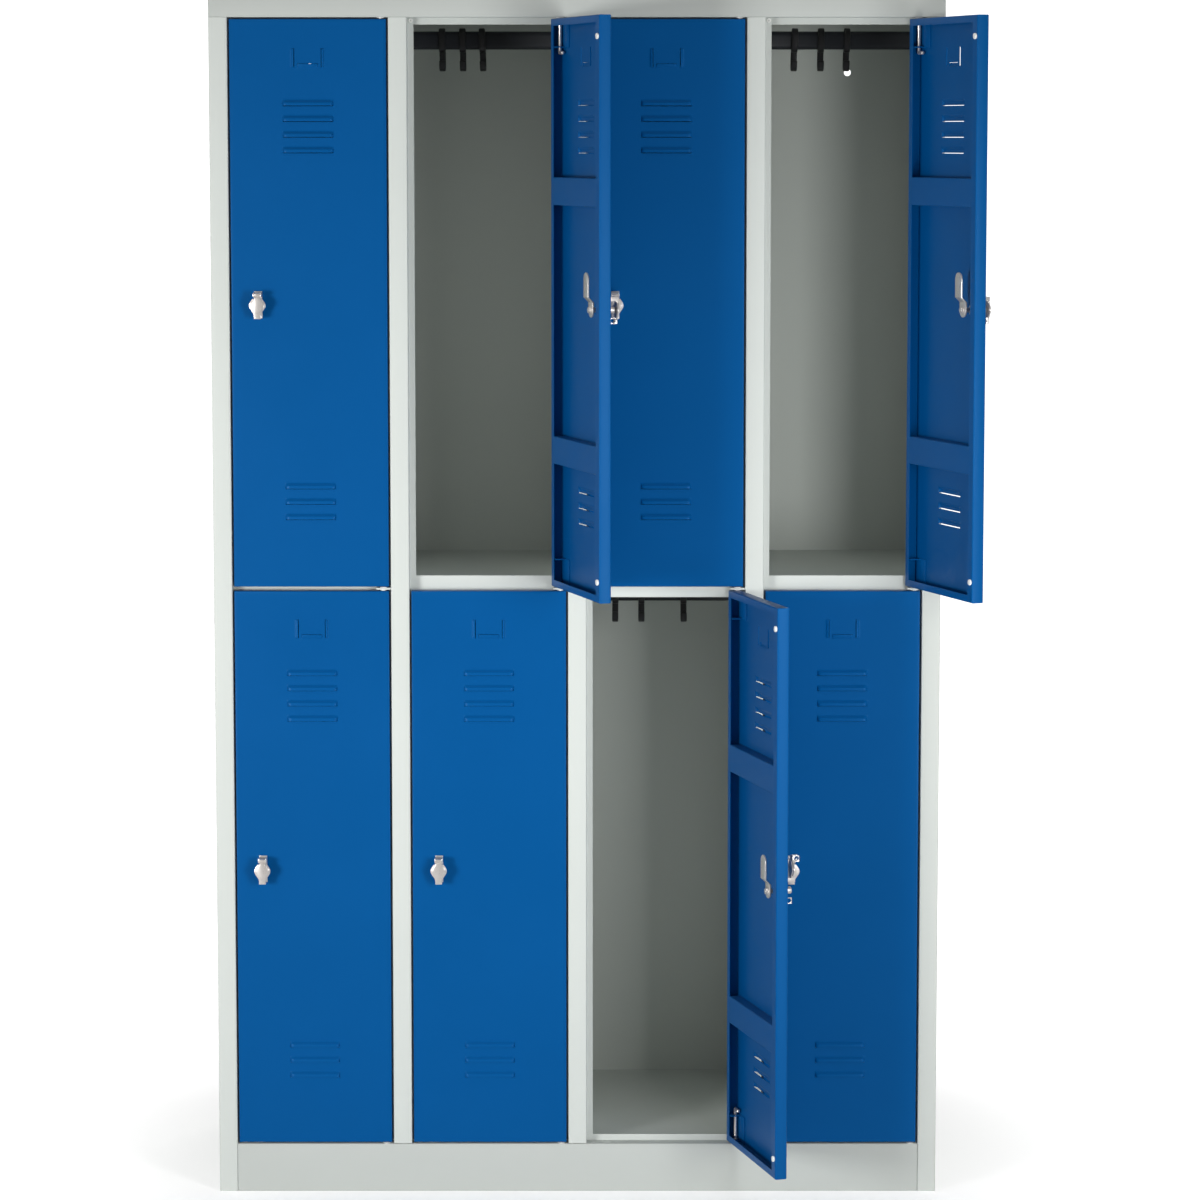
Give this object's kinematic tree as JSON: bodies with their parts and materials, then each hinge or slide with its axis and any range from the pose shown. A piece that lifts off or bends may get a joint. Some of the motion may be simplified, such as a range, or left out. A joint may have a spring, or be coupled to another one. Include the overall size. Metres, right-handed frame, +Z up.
{
  "type": "school locker",
  "caption": "Free-standing steel locker with tiers of hinged, vented doors, padlock turn locks, shelves, hanging rails and sliding coat hooks.",
  "frame": {"origin": "middle of the cabinet's footprint, on the floor", "axes": "+Z up, the doors face -Y, +X to the right as seen from the front"},
  "size_m": [1.2393, 0.73, 1.95],
  "materials": {
    "body_paint": "satin powder coat, light grey, fine orange peel",
    "door_paint": "satin powder coat, gentian blue, fine orange peel",
    "plated_steel": "satin nickel plate",
    "rail_black": "satin anthracite",
    "hook_plastic": "moulded black",
    "white_plastic": "natural nylon"
  },
  "bodies": {
    "cabinet": {"side_left": "body_paint", "side_right": "body_paint", "back_panel": "body_paint", "top_panel": "body_paint", "floor_panel": "body_paint", "plinth": "body_paint", "partition_1": "body_paint", "partition_2": "body_paint", "partition_3": "body_paint", "shelves": "body_paint", "hanging_rails": "rail_black", "frame_fittings": "white_plastic"},
    "door_upper_1": {"door_upper_1": "door_paint", "door_fittings_upper_1": "door_paint"},
    "lock_upper_1": {"lock_upper_1": "plated_steel"},
    "flap_upper_1": {"lock_flap_upper_1": "plated_steel"},
    "bolt_upper_1": {"hinge_bolt_upper_1": "plated_steel"},
    "hooks_upper_1": {"hooks_upper_1": "hook_plastic"},
    "door_upper_2": {"door_upper_2": "door_paint", "door_fittings_upper_2": "door_paint"},
    "lock_upper_2": {"lock_upper_2": "plated_steel"},
    "flap_upper_2": {"lock_flap_upper_2": "plated_steel"},
    "bolt_upper_2": {"hinge_bolt_upper_2": "plated_steel"},
    "hooks_upper_2": {"hooks_upper_2": "hook_plastic"},
    "door_upper_3": {"door_upper_3": "door_paint", "door_fittings_upper_3": "door_paint"},
    "lock_upper_3": {"lock_upper_3": "plated_steel"},
    "flap_upper_3": {"lock_flap_upper_3": "plated_steel"},
    "bolt_upper_3": {"hinge_bolt_upper_3": "plated_steel"},
    "hooks_upper_3": {"hooks_upper_3": "hook_plastic"},
    "door_upper_4": {"door_upper_4": "door_paint", "door_fittings_upper_4": "door_paint"},
    "lock_upper_4": {"lock_upper_4": "plated_steel"},
    "flap_upper_4": {"lock_flap_upper_4": "plated_steel"},
    "bolt_upper_4": {"hinge_bolt_upper_4": "plated_steel"},
    "hooks_upper_4": {"hooks_upper_4": "hook_plastic"},
    "door_lower_1": {"door_lower_1": "door_paint", "door_fittings_lower_1": "door_paint"},
    "lock_lower_1": {"lock_lower_1": "plated_steel"},
    "flap_lower_1": {"lock_flap_lower_1": "plated_steel"},
    "bolt_lower_1": {"hinge_bolt_lower_1": "plated_steel"},
    "hooks_lower_1": {"hooks_lower_1": "hook_plastic"},
    "door_lower_2": {"door_lower_2": "door_paint", "door_fittings_lower_2": "door_paint"},
    "lock_lower_2": {"lock_lower_2": "plated_steel"},
    "flap_lower_2": {"lock_flap_lower_2": "plated_steel"},
    "bolt_lower_2": {"hinge_bolt_lower_2": "plated_steel"},
    "hooks_lower_2": {"hooks_lower_2": "hook_plastic"},
    "door_lower_3": {"door_lower_3": "door_paint", "door_fittings_lower_3": "door_paint"},
    "lock_lower_3": {"lock_lower_3": "plated_steel"},
    "flap_lower_3": {"lock_flap_lower_3": "plated_steel"},
    "bolt_lower_3": {"hinge_bolt_lower_3": "plated_steel"},
    "hooks_lower_3": {"hooks_lower_3": "hook_plastic"},
    "door_lower_4": {"door_lower_4": "door_paint", "door_fittings_lower_4": "door_paint"},
    "lock_lower_4": {"lock_lower_4": "plated_steel"},
    "flap_lower_4": {"lock_flap_lower_4": "plated_steel"},
    "bolt_lower_4": {"hinge_bolt_lower_4": "plated_steel"},
    "hooks_lower_4": {"hooks_lower_4": "hook_plastic"}
  },
  "joints": [
    {"name": "door_upper_1_hinge", "type": "hinge", "parent": "cabinet", "child": "door_upper_1", "pos_m": [-0.3145, -0.243, 1.46125], "axis": [0, 0, 1], "range_deg": [0, 115]},
    {"name": "door_upper_2_hinge", "type": "hinge", "parent": "cabinet", "child": "door_upper_2", "pos_m": [-0.027, -0.243, 1.46125], "axis": [0, 0, 1], "range_deg": [-108, 7]},
    {"name": "door_upper_3_hinge", "type": "hinge", "parent": "cabinet", "child": "door_upper_3", "pos_m": [0.2605, -0.243, 1.46125], "axis": [0, 0, 1], "range_deg": [0, 115]},
    {"name": "door_upper_4_hinge", "type": "hinge", "parent": "cabinet", "child": "door_upper_4", "pos_m": [0.548, -0.243, 1.46125], "axis": [0, 0, 1], "range_deg": [-110, 5]},
    {"name": "door_lower_1_hinge", "type": "hinge", "parent": "cabinet", "child": "door_lower_1", "pos_m": [-0.3145, -0.243, 0.53975], "axis": [0, 0, 1], "range_deg": [0, 115]},
    {"name": "door_lower_2_hinge", "type": "hinge", "parent": "cabinet", "child": "door_lower_2", "pos_m": [-0.027, -0.243, 0.53975], "axis": [0, 0, 1], "range_deg": [0, 115]},
    {"name": "door_lower_3_hinge", "type": "hinge", "parent": "cabinet", "child": "door_lower_3", "pos_m": [0.2605, -0.243, 0.53975], "axis": [0, 0, 1], "range_deg": [-106, 9]},
    {"name": "door_lower_4_hinge", "type": "hinge", "parent": "cabinet", "child": "door_lower_4", "pos_m": [0.548, -0.243, 0.53975], "axis": [0, 0, 1], "range_deg": [0, 115]},
    {"name": "lock_upper_1_turn", "type": "hinge", "parent": "door_upper_1", "child": "lock_upper_1", "pos_m": [-0.5135, -0.243, 1.46125], "axis": [0, -1, 0], "range_deg": [0, 90]},
    {"name": "flap_upper_1_lift", "type": "hinge", "parent": "door_upper_1", "child": "flap_upper_1", "pos_m": [-0.5135, -0.271, 1.47825], "axis": [-1, 0, 0], "range_deg": [0, 180]},
    {"name": "lock_upper_2_turn", "type": "hinge", "parent": "door_upper_2", "child": "lock_upper_2", "pos_m": [0.03449, -0.43226, 1.46125], "axis": [0.9511, 0.309, 0], "range_deg": [0, 90]},
    {"name": "flap_upper_2_lift", "type": "hinge", "parent": "door_upper_2", "child": "flap_upper_2", "pos_m": [0.06112, -0.42361, 1.47825], "axis": [0.309, -0.9511, 0], "range_deg": [0, 180]},
    {"name": "lock_upper_3_turn", "type": "hinge", "parent": "door_upper_3", "child": "lock_upper_3", "pos_m": [0.0615, -0.243, 1.46125], "axis": [0, -1, 0], "range_deg": [0, 90]},
    {"name": "flap_upper_3_lift", "type": "hinge", "parent": "door_upper_3", "child": "flap_upper_3", "pos_m": [0.0615, -0.271, 1.47825], "axis": [-1, 0, 0], "range_deg": [0, 180]},
    {"name": "lock_upper_4_turn", "type": "hinge", "parent": "door_upper_4", "child": "lock_upper_4", "pos_m": [0.61606, -0.43, 1.46125], "axis": [0.9397, 0.342, 0], "range_deg": [0, 90]},
    {"name": "flap_upper_4_lift", "type": "hinge", "parent": "door_upper_4", "child": "flap_upper_4", "pos_m": [0.64237, -0.42042, 1.47825], "axis": [0.342, -0.9397, 0], "range_deg": [0, 180]},
    {"name": "lock_lower_1_turn", "type": "hinge", "parent": "door_lower_1", "child": "lock_lower_1", "pos_m": [-0.5135, -0.243, 0.53975], "axis": [0, -1, 0], "range_deg": [0, 90]},
    {"name": "flap_lower_1_lift", "type": "hinge", "parent": "door_lower_1", "child": "flap_lower_1", "pos_m": [-0.5135, -0.271, 0.55675], "axis": [-1, 0, 0], "range_deg": [0, 180]},
    {"name": "lock_lower_2_turn", "type": "hinge", "parent": "door_lower_2", "child": "lock_lower_2", "pos_m": [-0.226, -0.243, 0.53975], "axis": [0, -1, 0], "range_deg": [0, 90]},
    {"name": "flap_lower_2_lift", "type": "hinge", "parent": "door_lower_2", "child": "flap_lower_2", "pos_m": [-0.226, -0.271, 0.55675], "axis": [-1, 0, 0], "range_deg": [0, 180]},
    {"name": "lock_lower_3_turn", "type": "hinge", "parent": "door_lower_3", "child": "lock_lower_3", "pos_m": [0.31535, -0.43429, 0.53975], "axis": [0.9613, 0.2756, 0], "range_deg": [0, 90]},
    {"name": "flap_lower_3_lift", "type": "hinge", "parent": "door_lower_3", "child": "flap_lower_3", "pos_m": [0.34227, -0.42657, 0.55675], "axis": [0.2756, -0.9613, 0], "range_deg": [-180, 0]},
    {"name": "lock_lower_4_turn", "type": "hinge", "parent": "door_lower_4", "child": "lock_lower_4", "pos_m": [0.349, -0.243, 0.53975], "axis": [0, -1, 0], "range_deg": [0, 90]},
    {"name": "flap_lower_4_lift", "type": "hinge", "parent": "door_lower_4", "child": "flap_lower_4", "pos_m": [0.349, -0.271, 0.55675], "axis": [-1, 0, 0], "range_deg": [0, 180]},
    {"name": "bolt_upper_1_draw", "type": "slide", "parent": "door_upper_1", "child": "bolt_upper_1", "axis": [0, 0, -1], "range_m": [0, 0.008], "stiffness_N_per_m": 200, "springref_m": -0.01},
    {"name": "bolt_upper_2_draw", "type": "slide", "parent": "door_upper_2", "child": "bolt_upper_2", "axis": [0, 0, -1], "range_m": [0, 0.008], "stiffness_N_per_m": 200, "springref_m": -0.01},
    {"name": "bolt_upper_3_draw", "type": "slide", "parent": "door_upper_3", "child": "bolt_upper_3", "axis": [0, 0, -1], "range_m": [0, 0.008], "stiffness_N_per_m": 200, "springref_m": -0.01},
    {"name": "bolt_upper_4_draw", "type": "slide", "parent": "door_upper_4", "child": "bolt_upper_4", "axis": [0, 0, -1], "range_m": [0, 0.008], "stiffness_N_per_m": 200, "springref_m": -0.01},
    {"name": "bolt_lower_1_draw", "type": "slide", "parent": "door_lower_1", "child": "bolt_lower_1", "axis": [0, 0, 1], "range_m": [0, 0.008], "stiffness_N_per_m": 200, "springref_m": -0.01},
    {"name": "bolt_lower_2_draw", "type": "slide", "parent": "door_lower_2", "child": "bolt_lower_2", "axis": [0, 0, 1], "range_m": [0, 0.008], "stiffness_N_per_m": 200, "springref_m": -0.01},
    {"name": "bolt_lower_3_draw", "type": "slide", "parent": "door_lower_3", "child": "bolt_lower_3", "axis": [0, 0, 1], "range_m": [0, 0.008], "stiffness_N_per_m": 200, "springref_m": -0.01},
    {"name": "bolt_lower_4_draw", "type": "slide", "parent": "door_lower_4", "child": "bolt_lower_4", "axis": [0, 0, 1], "range_m": [0, 0.008], "stiffness_N_per_m": 200, "springref_m": -0.01},
    {"name": "hooks_upper_1_slide", "type": "slide", "parent": "cabinet", "child": "hooks_upper_1", "axis": [1, 0, 0], "range_m": [-0.077, 0.117]},
    {"name": "hooks_upper_2_slide", "type": "slide", "parent": "cabinet", "child": "hooks_upper_2", "axis": [1, 0, 0], "range_m": [-0.052, 0.148]},
    {"name": "hooks_upper_3_slide", "type": "slide", "parent": "cabinet", "child": "hooks_upper_3", "axis": [1, 0, 0], "range_m": [-0.055, 0.122]},
    {"name": "hooks_upper_4_slide", "type": "slide", "parent": "cabinet", "child": "hooks_upper_4", "axis": [1, 0, 0], "range_m": [-0.063, 0.132]},
    {"name": "hooks_lower_1_slide", "type": "slide", "parent": "cabinet", "child": "hooks_lower_1", "axis": [1, 0, 0], "range_m": [-0.079, 0.112]},
    {"name": "hooks_lower_2_slide", "type": "slide", "parent": "cabinet", "child": "hooks_lower_2", "axis": [1, 0, 0], "range_m": [-0.057, 0.13]},
    {"name": "hooks_lower_3_slide", "type": "slide", "parent": "cabinet", "child": "hooks_lower_3", "axis": [1, 0, 0], "range_m": [-0.053, 0.099]},
    {"name": "hooks_lower_4_slide", "type": "slide", "parent": "cabinet", "child": "hooks_lower_4", "axis": [1, 0, 0], "range_m": [-0.06, 0.131]}
  ]
}
